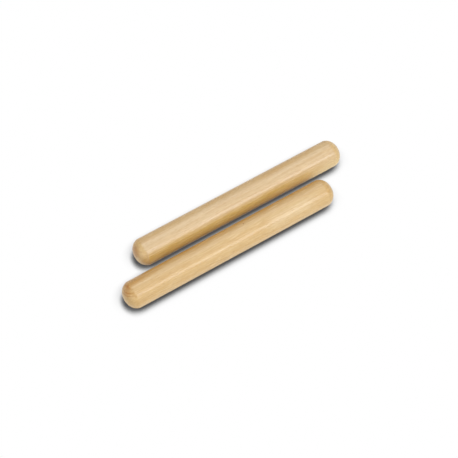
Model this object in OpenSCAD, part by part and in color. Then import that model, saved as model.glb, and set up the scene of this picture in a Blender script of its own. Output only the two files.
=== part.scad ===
// Claves: two loose hardwood sticks, each turned from one piece, with domed ends.
// They lie side by side on a flat surface. +X runs along both sticks, +Y goes from the
// striking clave to the held one, +Z is up. The origin is on the surface, at the middle
// of the pair. Sizes are in millimetres.

/* [Clave] */
// Length of a clave from tip to tip
clave_length = 200; // [150:1:260]
// Diameter of the straight barrel
clave_diameter = 23.8; // [18:0.1:32]

/* [Domed end] */
// Distance from the axis to the centre of the shoulder arc, which leaves the barrel
shoulder_offset = 2; // [0.5:0.1:5]
// How far that centre lies behind the end of the barrel, which leaves an arris there
shoulder_setback = 2; // [0:0.1:4]
// How much larger the radius of the nose arc, on the tip, is than the barrel's
nose_excess = 3.4; // [1.5:0.1:10]

/* [Pair as laid] */
// Clear gap between the two barrels
barrel_gap = 6.1; // [2:0.1:40]
// How far the held clave lies ahead of the striking one, along the axis
stagger = 26.8; // [0:0.2:80]

/* [Hidden] */
$fn = 128;

barrel_radius = clave_diameter / 2;

// A domed end is two arcs that meet with a common tangent: the shoulder arc leaves the barrel
// at a low arris, and the flatter nose arc crosses the axis.
shoulder_radius = norm([barrel_radius - shoulder_offset, shoulder_setback]);
nose_radius = barrel_radius + nose_excess;
// The nose arc's centre lies on the axis, this far behind the centre of the shoulder arc
nose_setback = sqrt(pow(nose_radius - shoulder_radius, 2) - pow(shoulder_offset, 2));
// Angle from the axis, at the nose arc's centre, at which the two arcs meet
meeting_angle = atan2(shoulder_offset, nose_setback);
dome_depth = nose_radius - nose_setback - shoulder_setback;
barrel_length = clave_length - 2 * dome_depth;
barrel_end = barrel_length / 2;
shoulder_centre = barrel_end - shoulder_setback;
nose_centre = shoulder_centre - nose_setback;
// Past every arc of the outline
reach = 2 * nose_radius;

axis_spacing = clave_diameter + barrel_gap;

// Wedge from the nose arc's centre that holds the nose arc and no more
module nose_wedge() {
    translate([0, nose_centre])
        polygon([
            [0, 0],
            [0, reach],
            reach * [sin(meeting_angle), cos(meeting_angle)],
        ]);
}

// Half outline of one domed end, past the end of the barrel
module dome_profile() {
    intersection() {
        translate([0, nose_centre])
            circle(r = nose_radius);
        nose_wedge();
    }
    difference() {
        intersection() {
            translate([shoulder_offset, shoulder_centre])
                circle(r = shoulder_radius);
            translate([0, barrel_end])
                square(reach);
        }
        nose_wedge();
    }
}

// Half outline of the whole stick, with its axis on Y
module clave_profile() {
    translate([0, -barrel_end])
        square([barrel_radius, barrel_length]);
    dome_profile();
    mirror([0, 1])
        dome_profile();
}

// One turned stick, lying along X and centred on its axis
module clave() {
    rotate([0, 90, 0])
        rotate_extrude()
            clave_profile();
}

// The clave that rests in the cupped hand, at the rear of the pair
module held_clave() {
    color("burlywood")
        translate([stagger / 2, axis_spacing / 2, barrel_radius])
            clave();
}

// The clave that strikes the other, at the front of the pair
module striking_clave() {
    color("wheat")
        translate([-stagger / 2, -axis_spacing / 2, barrel_radius])
            clave();
}

held_clave();
striking_clave();
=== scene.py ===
"""A pair of claves: two turned maple sticks under clear lacquer, side by side on a pale studio floor."""
import logging
import math
from dataclasses import dataclass, field
from enum import Enum
from typing import Any

import bmesh
import bpy
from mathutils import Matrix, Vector


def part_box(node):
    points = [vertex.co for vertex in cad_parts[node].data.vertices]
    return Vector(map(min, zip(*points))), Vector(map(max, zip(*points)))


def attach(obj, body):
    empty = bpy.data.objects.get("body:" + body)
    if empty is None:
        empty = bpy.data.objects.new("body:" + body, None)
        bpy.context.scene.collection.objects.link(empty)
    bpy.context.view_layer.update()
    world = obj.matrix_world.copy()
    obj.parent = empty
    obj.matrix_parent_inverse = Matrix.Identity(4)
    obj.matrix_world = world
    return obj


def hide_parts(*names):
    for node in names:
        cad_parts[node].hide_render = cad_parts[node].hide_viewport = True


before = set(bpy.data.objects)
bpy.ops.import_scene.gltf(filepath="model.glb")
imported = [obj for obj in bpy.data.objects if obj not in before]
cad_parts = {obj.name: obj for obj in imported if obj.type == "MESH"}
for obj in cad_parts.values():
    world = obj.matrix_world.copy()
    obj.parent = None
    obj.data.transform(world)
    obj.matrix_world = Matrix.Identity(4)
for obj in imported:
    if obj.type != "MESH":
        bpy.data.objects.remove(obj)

MM = 0.001
# Name of the texture map that the export looks for
BAKE_MAP = "OFBake"
# Sockets of a Mix node that mixes colours
MIX_SHARE = 0
MIX_UNDER = 6
MIX_OVER = 7
MIX_RESULT = 2
# Limits that Blender's noise seldom leaves
NOISE_LOW = 0.2
NOISE_HIGH = 0.8

log = logging.getLogger("claves")


def linear(hex_colour: str) -> tuple[float, float, float, float]:
    """Turns an sRGB hex colour into the linear colour that shaders take.

    Args:
        hex_colour: Six hex digits, with or without a leading #.

    Returns:
        Linear red, green and blue, and an alpha of 1.
    """
    digits = hex_colour.lstrip("#")
    channels = [int(digits[at:at + 2], 16) / 255 for at in (0, 2, 4)]
    # The sRGB curve is straight up to this value and a power above it
    low_end = 0.04045
    bright = [c / 12.92 if c <= low_end else ((c + 0.055) / 1.055) ** 2.4 for c in channels]
    return (*bright, 1.0)


def add_node(
    tree: bpy.types.NodeTree, kind: str, inputs: dict[str | int, Any] | None = None, **settings: Any
) -> bpy.types.Node:
    """Adds one node, with its settings and what its inputs hold or are linked from.

    Args:
        tree: Node tree that the node goes into.
        kind: Blender's name for the type of node.
        inputs: For an input's name or number, the output socket that feeds it or its fixed value.
        **settings: Properties of the node itself.

    Returns:
        The new node.
    """
    node = tree.nodes.new(kind)
    for name, value in settings.items():
        setattr(node, name, value)
    for key, value in (inputs or {}).items():
        if isinstance(value, bpy.types.NodeSocket):
            tree.links.new(value, node.inputs[key])
        else:
            node.inputs[key].default_value = value
    return node


def toward(azimuth: float, elevation: float) -> Vector:
    """Unit direction from the object to something that stands round it.

    Args:
        azimuth: Degrees round the object: 0 is the front, on the -Y side, and 90 is the +X side.
        elevation: Degrees above the floor.

    Returns:
        The direction in the frame of the object.
    """
    turn = math.radians(azimuth)
    lift = math.radians(elevation)
    return Vector((math.sin(turn) * math.cos(lift), -math.cos(turn) * math.cos(lift), math.sin(lift)))


def seen_share(tree: bpy.types.NodeTree) -> bpy.types.NodeSocket:
    """Adds the test for rays that show the background: straight, in a gloss or through glass.

    Args:
        tree: Node tree of the floor or the world.

    Returns:
        1 for those rays, and 0 for rays that only carry light.
    """
    path = add_node(tree, "ShaderNodeLightPath")
    mirrored = add_node(tree, "ShaderNodeMath", {
        0: path.outputs["Is Glossy Ray"],
        1: path.outputs["Is Transmission Ray"],
    }, operation="MAXIMUM")
    seen = add_node(tree, "ShaderNodeMath", {
        0: path.outputs["Is Camera Ray"],
        1: mirrored.outputs[0],
    }, operation="MAXIMUM")
    return seen.outputs[0]


class Cut(Enum):
    """Way that the year rings face across a stick, in degrees from +Y up towards +Z."""

    FLAT_SAWN = 72.0
    RIFT_SAWN = 62.0


class Lay(Enum):
    """Way that one colour lies on another, by Blender's name for it."""

    COVER = "MIX"
    TINT = "MULTIPLY"


@dataclass(frozen=True)
class Band:
    """A colour along one side of a stick. The bands of the two claves paint shade, bounce light and
    highlights into the wood.
    """

    colour: str
    # Side of the stick that it is on, in degrees as the cut's, and the distances from the axis at which it
    # starts and is full
    side: float
    start: float
    full: float
    # How much further in it starts at the -X end, or further out where this is negative, and the length of
    # barrel over which its border moves so
    spread: float = 0.0
    spread_length: float = 0.2 * MM
    # Where along the stick it has thinned out, over what length it does so, and the share that is left
    end: float = 200 * MM
    fade: float = 45 * MM
    rest: float = 0.3


@dataclass(frozen=True)
class Streak:
    """One kind of mark that lies along the grain."""

    colour: str
    width: float
    length: float
    # Share of the noise at which the mark starts to show and at which it is full, and its full strength
    start: float
    full: float
    strength: float


@dataclass(frozen=True)
class Knot:
    """One pin knot or stain, at a place on the stick in millimetres from its middle."""

    place: tuple[float, float, float]
    size: float = 0.4 * MM
    colour: str = "#9A6A38"
    strength: float = 0.7


@dataclass(frozen=True)
class LacqueredMaple:
    """Hard maple, turned, fine sanded and sprayed with clear satin lacquer.

    Maple is pale and close grained. The eye gets a smooth cream to honey ground, thin brown lines where
    each year's growth ends, and short fibre streaks. The lacquer lays a soft clear gloss over it.
    """

    name: str
    cut: Cut
    # Offset that gives each stick grain of its own
    seed: float
    sapwood: str
    # Bands of painted shade, painted bounce light and painted highlight over the sapwood
    bands: tuple[Band, ...]
    knots: tuple[Knot, ...] = ()
    ring_colour: str = "#B4742F"
    ring_width: float = 2.6 * MM
    pith_distance: float = 80 * MM
    # Shares of a year's growth at which its wood starts to darken and is darkest
    summer_start: float = 0.45
    summer_full: float = 0.95
    # Distances from the axis, on the side that faces away from the pith, at which rings start and are full
    ring_start: float = 2 * MM
    ring_full: float = 6 * MM
    # Rings show in the end grain of the domes, more at the -X end than the other, and faintly on the barrel
    ring_on_end: float = 0.65
    ring_on_far_end: float = 0.2
    ring_on_side: float = 0.1
    end_colour: str = "#FBF7E9"
    barrel_end: float = 91.5 * MM
    # How far past the end of the barrel the colour of end grain is full, and its rings are
    end_full: float = 1.5 * MM
    ring_end_full: float = 4 * MM
    # How far rings and bands wander, and the size of the waves that they do it in
    wander: float = 1.4 * MM
    wander_width: float = 12 * MM
    wander_length: float = 70 * MM
    # Maple's pores are under 0.1 mm wide, too fine to show: streaks and fibres are drawn as coarse as they
    # need to be to show in a picture of the whole stick
    streaks: tuple[Streak, ...] = (
        Streak("#C4985A", width=4.5 * MM, length=110 * MM, start=0.38, full=0.68, strength=0.24),
        Streak("#C99E5C", width=1.3 * MM, length=36 * MM, start=0.42, full=0.72, strength=0.16),
        Streak("#F5DDB0", width=0.8 * MM, length=12 * MM, start=0.48, full=0.72, strength=0.38),
        Streak("#B9894A", width=0.7 * MM, length=3.5 * MM, start=0.52, full=0.74, strength=0.28),
    )
    fibre_width: float = 0.8 * MM
    fibre_length: float = 12 * MM
    fibre_height: float = 0.06 * MM
    noise_detail: float = 2.0
    # Noise of the fibres at which the wood is smoothest and roughest, and how rough it is there
    smooth_at: float = 0.3
    rough_at: float = 0.7
    least_roughness: float = 0.42
    most_roughness: float = 0.58
    # Gloss of the wood itself, and the share, roughness and IOR of the satin lacquer over it
    wood_gloss: float = 0.2
    lacquer_share: float = 0.6
    lacquer_roughness: float = 0.16
    lacquer_ior: float = 1.5

    def noise(self, tree: bpy.types.NodeTree, width: float, length: float) -> bpy.types.NodeSocket:
        """Adds noise that is drawn out along the grain.

        Args:
            tree: Node tree of the material.
            width: Size of the noise across the grain.
            length: Size of the noise along the grain.

        Returns:
            The noise, about 0.5 on average.
        """
        place = add_node(tree, "ShaderNodeTexCoord")
        drawn_out = add_node(tree, "ShaderNodeMapping", {
            "Vector": place.outputs["Object"],
            "Location": (self.seed, self.seed, width / MM),
            "Scale": (1 / length, 1 / width, 1 / width),
        })
        noise = add_node(tree, "ShaderNodeTexNoise", {
            "Vector": drawn_out.outputs[0],
            "Scale": 1.0,
            "Detail": self.noise_detail,
        })
        return noise.outputs["Fac"]

    def across(
        self,
        tree: bpy.types.NodeTree,
        angle: float,
        start: float,
        full: float,
        wander: bpy.types.NodeSocket,
    ) -> bpy.types.NodeSocket:
        """Adds a share that grows across the stick towards one side.

        Args:
            tree: Node tree of the material.
            angle: The side, in degrees from +Y up towards +Z.
            start: Distance from the axis at which the share is 0.
            full: Distance from the axis at which the share is 1.
            wander: Distance by which its border wanders.

        Returns:
            The share, from 0 to 1.
        """
        place = add_node(tree, "ShaderNodeTexCoord")
        side = (0.0, math.cos(math.radians(angle)), math.sin(math.radians(angle)))
        out = add_node(tree, "ShaderNodeVectorMath", {
            0: place.outputs["Object"],
            1: side,
        }, operation="DOT_PRODUCT")
        wandering = add_node(tree, "ShaderNodeMath", {0: out.outputs["Value"], 1: wander}, operation="ADD")
        share = add_node(tree, "ShaderNodeMapRange", {
            "Value": wandering.outputs[0],
            "From Min": start,
            "From Max": full,
        }, interpolation_type="SMOOTHSTEP")
        return share.outputs[0]

    def along(
        self, tree: bpy.types.NodeTree, start: float, end: float, first: float, last: float
    ) -> bpy.types.NodeSocket:
        """Adds a value that changes along the stick.

        Args:
            tree: Node tree of the material.
            start: Place along the stick where the change starts.
            end: Place where it ends.
            first: The value before it.
            last: The value after it.

        Returns:
            The value.
        """
        place = add_node(tree, "ShaderNodeTexCoord")
        axes = add_node(tree, "ShaderNodeSeparateXYZ", {0: place.outputs["Object"]})
        value = add_node(tree, "ShaderNodeMapRange", {
            "Value": axes.outputs["X"],
            "From Min": start,
            "From Max": end,
            "To Min": first,
            "To Max": last,
        })
        return value.outputs[0]

    def end_grain(self, tree: bpy.types.NodeTree, full: float) -> bpy.types.NodeSocket:
        """Adds the share of end grain, which grows over the domes.

        Args:
            tree: Node tree of the material.
            full: How far past the end of the barrel the share is 1.

        Returns:
            The share, 0 on the barrel.
        """
        place = add_node(tree, "ShaderNodeTexCoord")
        axes = add_node(tree, "ShaderNodeSeparateXYZ", {0: place.outputs["Object"]})
        along = add_node(tree, "ShaderNodeMath", {0: axes.outputs["X"]}, operation="ABSOLUTE")
        share = add_node(tree, "ShaderNodeMapRange", {
            "Value": along.outputs[0],
            "From Min": self.barrel_end,
            "From Max": self.barrel_end + full,
        })
        return share.outputs[0]

    def band_share(
        self, tree: bpy.types.NodeTree, band: Band, wander: bpy.types.NodeSocket
    ) -> bpy.types.NodeSocket:
        """Adds the share of one band.

        Args:
            tree: Node tree of the material.
            band: The band.
            wander: Distance by which its border wanders.

        Returns:
            The share, from 0 to 1.
        """
        tip_side = -self.barrel_end - self.end_full
        spread = self.along(tree, tip_side, band.spread_length - self.barrel_end, band.spread, 0.0)
        border = add_node(tree, "ShaderNodeMath", {0: spread, 1: wander}, operation="ADD")
        side = self.across(tree, band.side, band.start, band.full, border.outputs[0])
        run = self.along(tree, band.end - band.fade, band.end, 1.0, band.rest)
        return add_node(tree, "ShaderNodeMath", {0: side, 1: run}, operation="MULTIPLY").outputs[0]

    def ring_lines(self, tree: bpy.types.NodeTree, wander: bpy.types.NodeSocket) -> bpy.types.NodeSocket:
        """Adds the line that ends each year's ring round the pith of the tree.

        Args:
            tree: Node tree of the material.
            wander: Distance by which the rings wander.

        Returns:
            The strength of the lines, from 0 to 1.
        """
        place = add_node(tree, "ShaderNodeTexCoord")
        facing = math.radians(self.cut.value)
        from_pith = add_node(tree, "ShaderNodeVectorMath", {
            0: place.outputs["Object"],
            1: (0.0, 1.0, 1.0),
            2: (0.0, self.pith_distance * math.cos(facing), self.pith_distance * math.sin(facing)),
        }, operation="MULTIPLY_ADD")
        radius = add_node(tree, "ShaderNodeVectorMath", {0: from_pith.outputs[0]}, operation="LENGTH")
        wandering = add_node(tree, "ShaderNodeMath", {
            0: radius.outputs["Value"],
            1: wander,
        }, operation="ADD")
        year = add_node(tree, "ShaderNodeMath", {
            0: wandering.outputs[0],
            1: self.ring_width,
        }, operation="DIVIDE")
        season = add_node(tree, "ShaderNodeMath", {0: year.outputs[0]}, operation="FRACT")
        # The wood darkens through the summer, and the next spring starts pale at once
        line = add_node(tree, "ShaderNodeMapRange", {
            "Value": season.outputs[0],
            "From Min": self.summer_start,
            "From Max": self.summer_full,
        }, interpolation_type="SMOOTHSTEP")
        shown = add_node(tree, "ShaderNodeMapRange", {
            "Value": self.end_grain(tree, self.ring_end_full),
            "To Min": self.ring_on_side,
            "To Max": self.along(
                tree, -self.barrel_end, self.barrel_end, self.ring_on_end, self.ring_on_far_end
            ),
        })
        strength = add_node(tree, "ShaderNodeMath", {
            0: line.outputs[0],
            1: shown.outputs[0],
        }, operation="MULTIPLY")
        # Rings are darker on the side that faces away from the pith
        side = self.across(tree, self.cut.value, self.ring_start, self.ring_full, wander)
        darker = add_node(tree, "ShaderNodeMath", {0: strength.outputs[0], 1: side}, operation="MULTIPLY")
        return darker.outputs[0]

    def knot_share(self, tree: bpy.types.NodeTree, knot: Knot) -> bpy.types.NodeSocket:
        """Adds the share of one knot.

        Args:
            tree: Node tree of the material.
            knot: The knot.

        Returns:
            The share, from 0 to the knot's full strength.
        """
        place = add_node(tree, "ShaderNodeTexCoord")
        centre = tuple(value * MM for value in knot.place)
        distance = add_node(tree, "ShaderNodeVectorMath", {
            0: place.outputs["Object"],
            1: centre,
        }, operation="DISTANCE")
        # It fades out over as much again as its own radius
        strength = add_node(tree, "ShaderNodeMapRange", {
            "Value": distance.outputs["Value"],
            "From Min": knot.size,
            "From Max": 2 * knot.size,
            "To Min": knot.strength,
            "To Max": 0.0,
        })
        return strength.outputs[0]

    def blend(
        self,
        tree: bpy.types.NodeTree,
        share: bpy.types.NodeSocket,
        under: bpy.types.NodeSocket | tuple[float, float, float, float],
        over: str,
        how: Lay = Lay.COVER,
    ) -> bpy.types.NodeSocket:
        """Lays one colour over another.

        Args:
            tree: Node tree of the material.
            share: How much of the upper colour shows.
            under: The lower colour.
            over: The upper colour, in hex.
            how: Way that it lies on the lower one.

        Returns:
            The blended colour.
        """
        mixed = add_node(tree, "ShaderNodeMix", {
            MIX_SHARE: share,
            MIX_UNDER: under,
            MIX_OVER: linear(over),
        }, data_type="RGBA", blend_type=how.value)
        return mixed.outputs[MIX_RESULT]

    def colour(self, tree: bpy.types.NodeTree) -> bpy.types.NodeSocket:
        """Adds the colour of the wood, from the ground up to the marks on it, with bands of painted shade,
        bounce light and highlight.

        Args:
            tree: Node tree of the material.

        Returns:
            The colour.
        """
        waves = self.noise(tree, self.wander_width, self.wander_length)
        wander = add_node(tree, "ShaderNodeMapRange", {
            "Value": waves,
            "From Min": NOISE_LOW,
            "From Max": NOISE_HIGH,
            "To Min": -self.wander,
            "To Max": self.wander,
        }).outputs[0]
        colour = linear(self.sapwood)
        for band in self.bands:
            colour = self.blend(tree, self.band_share(tree, band, wander), colour, band.colour)
        for streak in self.streaks:
            share = add_node(tree, "ShaderNodeMapRange", {
                "Value": self.noise(tree, streak.width, streak.length),
                "From Min": streak.start,
                "From Max": streak.full,
                "To Max": streak.strength,
            })
            colour = self.blend(tree, share.outputs[0], colour, streak.colour)
        colour = self.blend(tree, self.ring_lines(tree, wander), colour, self.ring_colour)
        for knot in self.knots:
            colour = self.blend(tree, self.knot_share(tree, knot), colour, knot.colour)
        return self.blend(tree, self.end_grain(tree, self.end_full), colour, self.end_colour, Lay.TINT)

    def build(self) -> bpy.types.Material:
        """Makes the material.

        Returns:
            The finished material.
        """
        material = bpy.data.materials.new(self.name)
        material.use_nodes = True
        tree = material.node_tree
        tree.nodes.clear()
        fibres = self.noise(tree, self.fibre_width, self.fibre_length)
        roughness = add_node(tree, "ShaderNodeMapRange", {
            "Value": fibres,
            "From Min": self.smooth_at,
            "From Max": self.rough_at,
            "To Min": self.least_roughness,
            "To Max": self.most_roughness,
        })
        relief = add_node(tree, "ShaderNodeBump", {"Height": fibres, "Distance": self.fibre_height})
        surface = add_node(tree, "ShaderNodeBsdfPrincipled", {
            "Base Color": self.colour(tree),
            "Roughness": roughness.outputs[0],
            "Normal": relief.outputs[0],
            "Specular IOR Level": self.wood_gloss,
            "Coat Weight": self.lacquer_share,
            "Coat Roughness": self.lacquer_roughness,
            "Coat IOR": self.lacquer_ior,
            "Coat Normal": relief.outputs[0],
        })
        add_node(tree, "ShaderNodeOutputMaterial", {"Surface": surface.outputs["BSDF"]})
        return material


@dataclass
class Clave:
    """One clave: a straight barrel with a domed end at each side, turned from a single piece."""

    node: str
    body: str
    finish: LacqueredMaple
    # Distance from the axis to the centre of the shoulder arc, which leaves the barrel
    shoulder_offset: float = 2 * MM
    # How far that centre lies behind the end of the barrel, which leaves an arris there
    shoulder_setback: float = 2 * MM
    # How much larger the radius of the nose arc, on the tip, is than the barrel's
    nose_excess: float = 3.4 * MM
    # Width of the row of faces at the end of the barrel over which the shading turns to the dome's
    arris_row: float = 0.2 * MM
    # Points round the stick, and steps along the nose arc, the shoulder arc and the barrel
    round_points: int = 160
    nose_steps: int = 8
    shoulder_steps: int = 28
    barrel_steps: int = 96
    # Taken from the frame
    centre: Vector = field(init=False)
    half_length: float = field(init=False)
    barrel_radius: float = field(init=False)

    def __post_init__(self) -> None:
        """Takes the stick's length, width and place from the frame."""
        low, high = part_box(self.node)
        self.centre = (low + high) / 2
        self.half_length = (high.x - low.x) / 2
        self.barrel_radius = (high.z - low.z) / 2

    def outline(self) -> list[tuple[float, float]]:
        """Works out the half outline that the lathe follows.

        Returns:
            Places along the axis and distances from it, from one tip to the other.
        """
        shoulder_rise = self.barrel_radius - self.shoulder_offset
        shoulder_radius = math.hypot(shoulder_rise, self.shoulder_setback)
        nose_radius = self.barrel_radius + self.nose_excess
        nose_setback = math.sqrt((nose_radius - shoulder_radius) ** 2 - self.shoulder_offset ** 2)
        nose_centre = self.half_length - nose_radius
        shoulder_centre = nose_centre + nose_setback
        barrel_end = shoulder_centre + self.shoulder_setback
        # Angles from the axis at which the two arcs meet, and at which the shoulder leaves the barrel
        meeting_angle = math.atan2(self.shoulder_offset, nose_setback)
        arris_angle = math.atan2(shoulder_rise, self.shoulder_setback)
        dome = []
        for step in range(self.nose_steps):
            angle = meeting_angle * step / self.nose_steps
            dome.append((nose_centre + nose_radius * math.cos(angle), nose_radius * math.sin(angle)))
        for step in range(self.shoulder_steps + 1):
            angle = meeting_angle + (arris_angle - meeting_angle) * step / self.shoulder_steps
            dome.append((
                shoulder_centre + shoulder_radius * math.cos(angle),
                self.shoulder_offset + shoulder_radius * math.sin(angle),
            ))
        straight = barrel_end - self.arris_row
        barrel = [
            (straight - 2 * straight * step / self.barrel_steps, self.barrel_radius)
            for step in range(self.barrel_steps + 1)
        ]
        far_dome = [(-along, out) for along, out in reversed(dome)]
        return dome + barrel + far_dome

    def turn(self) -> bpy.types.Object:
        """Turns the outline about the axis into a closed mesh.

        The texture map is the stick's surface laid out flat: round the stick by along its outline.

        Returns:
            The stick, in place.
        """
        outline = self.outline()
        steps = [math.dist(one, other) for one, other in zip(outline, outline[1:])]
        travel = [sum(steps[:count]) / sum(steps) for count in range(len(outline))]
        skin = bmesh.new()
        uv_map = skin.loops.layers.uv.new(BAKE_MAP)
        rings = []
        for along, out in outline:
            if out == 0:
                rings.append([skin.verts.new((along, 0, 0))] * self.round_points)
                continue
            ring = []
            for point in range(self.round_points):
                angle = 2 * math.pi * point / self.round_points
                ring.append(skin.verts.new((along, out * math.cos(angle), out * math.sin(angle))))
            rings.append(ring)
        for row in range(len(rings) - 1):
            for point in range(self.round_points):
                beside = (point + 1) % self.round_points
                left = point / self.round_points
                right = (point + 1) / self.round_points
                # At a tip two of the four corners are one point, which the table holds once
                corners = {
                    rings[row][point]: (left, travel[row]),
                    rings[row + 1][point]: (left, travel[row + 1]),
                    rings[row + 1][beside]: (right, travel[row + 1]),
                    rings[row][beside]: (right, travel[row]),
                }
                face = skin.faces.new(corners)
                for loop in face.loops:
                    loop[uv_map].uv = corners[loop.vert]
        bmesh.ops.recalc_face_normals(skin, faces=skin.faces[:])
        mesh = bpy.data.meshes.new(self.node + "_turned")
        skin.to_mesh(mesh)
        skin.free()
        mesh.shade_smooth()
        stick = bpy.data.objects.new(self.node + "_turned", mesh)
        stick.location = self.centre
        bpy.context.scene.collection.objects.link(stick)
        return stick

    def build(self) -> bpy.types.Object:
        """Makes the stick, dresses it and puts it on its body.

        Returns:
            The finished piece.
        """
        stick = self.turn()
        stick.data.materials.append(self.finish.build())
        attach(stick, self.body)
        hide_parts(self.node)
        return stick


@dataclass(frozen=True)
class Lamp:
    """A studio softbox and where it stands about the object."""

    name: str
    azimuth: float
    elevation: float
    # Width of the softbox as the object sees it, in degrees
    spread: float
    # Light that it throws on a surface facing it: at 1 a colour shows as bright as it is written
    level: float
    # Its length, level with the floor, as a share of its width
    stretch: float = 1.0
    distance: float = 1.5

    def build(self) -> bpy.types.Object:
        """Puts the softbox in place.

        Returns:
            The lamp, aimed at the object.
        """
        data = bpy.data.lights.new(self.name, "AREA")
        data.shape = "ELLIPSE"
        data.size_y = 2 * self.distance * math.tan(math.radians(self.spread) / 2)
        data.size = self.stretch * data.size_y
        # A lamp sends out its power over pi as it faces the object, and the shader divides by pi again
        data.energy = self.level * math.pi * math.pi * self.distance ** 2
        direction = toward(self.azimuth, self.elevation)
        lamp = bpy.data.objects.new(self.name, data)
        lamp.location = direction * self.distance
        lamp.rotation_mode = "QUATERNION"
        lamp.rotation_quaternion = direction.to_track_quat("Z", "Y")
        lamp.visible_camera = False
        bpy.context.scene.collection.objects.link(lamp)
        return lamp


@dataclass(frozen=True)
class ContactShadow:
    """The dark that the claves lay on the floor about them.

    The floor looks up along a leaning direction, and the share of the view that the claves leave open sets
    how bright it is.
    """

    lean: tuple[float, float, float]
    # How far off a clave still shades the floor
    reach: float
    # Open shares at which the shadow is deepest and gone, and how bright its deepest place is
    core: float
    rim: float
    depth: float
    # Rays that the floor sends out for each sample of a picture
    samples: int = 16

    def build(self, tree: bpy.types.NodeTree) -> bpy.types.NodeSocket:
        """Adds the shadow.

        Args:
            tree: Node tree of the floor.

        Returns:
            The brightness that it leaves, from its depth to 1.
        """
        lean = add_node(tree, "ShaderNodeCombineXYZ", dict(zip("XYZ", Vector(self.lean).normalized())))
        open_above = add_node(tree, "ShaderNodeAmbientOcclusion", {
            "Distance": self.reach,
            "Normal": lean.outputs[0],
        }, samples=self.samples)
        shade = add_node(tree, "ShaderNodeMapRange", {
            "Value": open_above.outputs["AO"],
            "From Min": self.core,
            "From Max": self.rim,
            "To Min": self.depth,
            "To Max": 1.0,
        }, interpolation_type="SMOOTHSTEP")
        return shade.outputs[0]


@dataclass(frozen=True)
class MattPaper:
    """White studio paper, which the claves lie on.

    Paper is matt and its fibres are too fine to see. The eye gets an even white with no gloss, dark only
    close to the claves. Rays that only carry light meet plain white paper.
    """

    name: str = "matt_white_paper"
    colour: str = "#FAFAFA"
    # One leans to +X and darkens the floor past the -X ends more. The other leans to -X and far to -Y, and
    # darkens it past the +X ends and behind the claves. The darker one shows
    left_shadow: ContactShadow = ContactShadow(
        (0.15, -0.345, 1.0), 8.15 * MM, core=0.535, rim=1.0, depth=0.08
    )
    right_shadow: ContactShadow = ContactShadow(
        (-0.155, -0.65, 1.0), 14.0 * MM, core=0.14, rim=0.97, depth=0.08
    )

    def build(self) -> bpy.types.Material:
        """Makes the material.

        Returns:
            The finished material.
        """
        material = bpy.data.materials.new(self.name)
        material.use_nodes = True
        tree = material.node_tree
        tree.nodes.clear()
        shade = add_node(tree, "ShaderNodeMath", {
            0: self.left_shadow.build(tree),
            1: self.right_shadow.build(tree),
        }, operation="MINIMUM")
        seen = add_node(tree, "ShaderNodeEmission", {"Strength": shade.outputs[0]})
        bounce = add_node(tree, "ShaderNodeBsdfDiffuse", {"Color": linear(self.colour)})
        mixed = add_node(tree, "ShaderNodeMixShader", {
            0: seen_share(tree),
            1: bounce.outputs[0],
            2: seen.outputs[0],
        })
        add_node(tree, "ShaderNodeOutputMaterial", {"Surface": mixed.outputs[0]})
        return material


@dataclass
class Studio:
    """The pale floor, the soft light of the room and the camera."""

    floor_size: float = 12.0
    paper: MattPaper = MattPaper()
    # Light of the room from all round, in the same measure as a lamp's level
    ambient: float = 0.1
    # Camera, from the fit of both sticks' edges and tips
    view_azimuth: float = -31.8
    view_elevation: float = 60.0
    view_distance: float = 1.116
    look_at: tuple[float, float, float] = (-7.1 * MM, -3.5 * MM, 11.9 * MM)
    lens: float = 105.8
    sensor: float = 36.0
    clip_start: float = 10 * MM

    def build_floor(self) -> bpy.types.Object:
        """Lays the floor, white to the camera but for the object's shadow.

        Returns:
            The floor.
        """
        half = self.floor_size / 2
        mesh = bpy.data.meshes.new("studio_floor")
        corners = [(-half, -half, 0), (half, -half, 0), (half, half, 0), (-half, half, 0)]
        mesh.from_pydata(corners, [], [(0, 1, 2, 3)])
        floor = bpy.data.objects.new("studio_floor", mesh)
        bpy.context.scene.collection.objects.link(floor)
        mesh.materials.append(self.paper.build())
        return floor

    def build_world(self) -> bpy.types.World:
        """Sets the soft light of the room, white where it is seen.

        Returns:
            The world.
        """
        world = bpy.data.worlds.new("studio_room")
        bpy.context.scene.world = world
        world.use_nodes = True
        tree = world.node_tree
        tree.nodes.clear()
        strength = add_node(tree, "ShaderNodeMapRange", {
            "Value": seen_share(tree),
            "To Min": self.ambient,
            "To Max": 1.0,
        })
        room = add_node(tree, "ShaderNodeBackground", {
            "Strength": strength.outputs[0],
            "Color": (1, 1, 1, 1),
        })
        add_node(tree, "ShaderNodeOutputWorld", {"Surface": room.outputs[0]})
        return world

    def build_camera(self) -> bpy.types.Object:
        """Sets the camera where the photograph was taken from.

        Returns:
            The camera.
        """
        data = bpy.data.cameras.new("studio_camera")
        data.sensor_width = self.sensor
        data.lens = self.lens
        data.clip_start = self.clip_start
        camera = bpy.data.objects.new("studio_camera", data)
        back = toward(self.view_azimuth, self.view_elevation)
        camera.location = Vector(self.look_at) + back * self.view_distance
        camera.rotation_mode = "QUATERNION"
        camera.rotation_quaternion = (-back).to_track_quat("-Z", "Y")
        bpy.context.scene.collection.objects.link(camera)
        bpy.context.scene.camera = camera
        return camera


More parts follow.
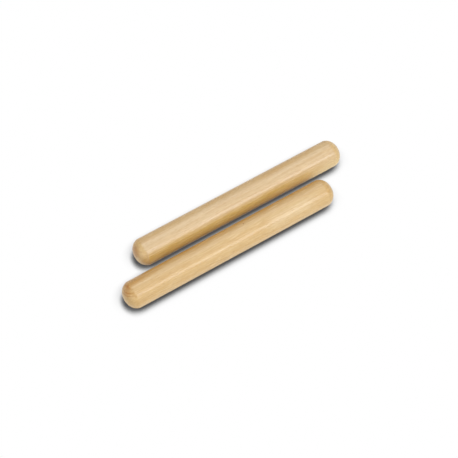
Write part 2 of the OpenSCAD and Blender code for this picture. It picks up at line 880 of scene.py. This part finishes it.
# The held clave is pale on top. Its bands are painted light: tan at the rear is painted shade on the side
# turned from the lamps, honey low down at the front is painted shade and warm bounce light from the
# striking clave beside it, and the paler band there towards the +X end is painted light where that clave no
# longer shades it
HELD_MAPLE = LacqueredMaple(
    "lacquered_maple_held",
    cut=Cut.FLAT_SAWN,
    seed=6.4,
    sapwood="#DCC095",
    bands=(
        # Painted shade and warm bounce light, where the striking clave shades this flank and casts its
        # colour on it; it thins out past that clave's +X end
        Band("#D6B46B", side=190.0, start=4.6 * MM, full=9 * MM, spread=-8 * MM, end=85 * MM, rest=0.15),
        # Painted light: the flank brighter towards the +X end, past the striking clave's shade
        Band("#F4D998", side=202.0, start=5.5 * MM, full=16 * MM, spread=-24 * MM, spread_length=132 * MM),
        # Painted shade: the rear edge, turned away from the lamps
        Band("#D6AE70", side=26.0, start=5.5 * MM, full=11 * MM),
    ),
    knots=(Knot((-98.8, 1.5, 5.2), size=3.4 * MM, colour="#B98245", strength=0.65),),
    end_colour="#FFFAE6",
    ring_on_end=0.15,
    ring_on_far_end=0.05,
)
# The striking clave has an orange band along its top, at the rear, which is painted shade and warm
# reflection from the held clave that it faces, and a pale band on the front of its top near the +X end,
# which is a painted highlight
STRIKING_MAPLE = LacqueredMaple(
    "lacquered_maple_striking",
    cut=Cut.RIFT_SAWN,
    seed=2.3,
    sapwood="#D9B77F",
    bands=(
        # Painted shade and warm reflection, where the top faces the held clave
        Band("#C89549", side=45.0, start=9.3 * MM, full=12 * MM, spread=1.4 * MM, spread_length=30 * MM),
        # Painted highlight, where the front strip's highlight falls near the +X end
        Band(
            "#F3E2BE", side=126.0, start=8.5 * MM, full=18 * MM, spread=-30 * MM, spread_length=130 * MM,
            end=87 * MM, fade=16 * MM, rest=0.0,
        ),
    ),
    knots=(
        Knot((-85.9, 6.2, 10.2)),
        Knot((11.3, 7.8, 9.0)),
        Knot((15.6, 3.9, 11.2)),
        Knot((-93.6, 3.9, 10.3), size=0.7 * MM, colour="#A8541F", strength=0.45),
        Knot((-96.8, 0.9, 8.6), size=2.4 * MM, colour="#BE7834", strength=0.32),
    ),
)

LAMPS = (
    Lamp("front_strip", azimuth=19.0, elevation=43.0, spread=18.0, level=0.28, stretch=2.2),
    Lamp("rear_softbox", azimuth=168.0, elevation=56.0, spread=40.0, level=0.22),
    Lamp("overhead_softbox", azimuth=0.0, elevation=90.0, spread=75.0, level=0.605),
    Lamp("front_softbox", azimuth=10.0, elevation=22.0, spread=60.0, level=0.14),
    Lamp("left_softbox", azimuth=-60.0, elevation=14.0, spread=50.0, level=0.265),
    Lamp("right_softbox", azimuth=48.0, elevation=8.0, spread=40.0, level=0.16),
)


def main() -> None:
    """Builds the claves and the studio."""
    logging.basicConfig(level=logging.INFO, format="%(message)s")
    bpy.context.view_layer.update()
    bpy.context.scene.view_settings.view_transform = "Standard"
    studio = Studio()
    studio.build_camera()
    studio.build_floor()
    studio.build_world()
    for lamp in LAMPS:
        lamp.build()
    claves = (
        Clave("held_clave", "held_clave", HELD_MAPLE),
        Clave("striking_clave", "striking_clave", STRIKING_MAPLE),
    )
    for clave in claves:
        piece = clave.build()
        log.info("%s: %d faces", piece.name, len(piece.data.polygons))


if __name__ == "__main__":
    main()
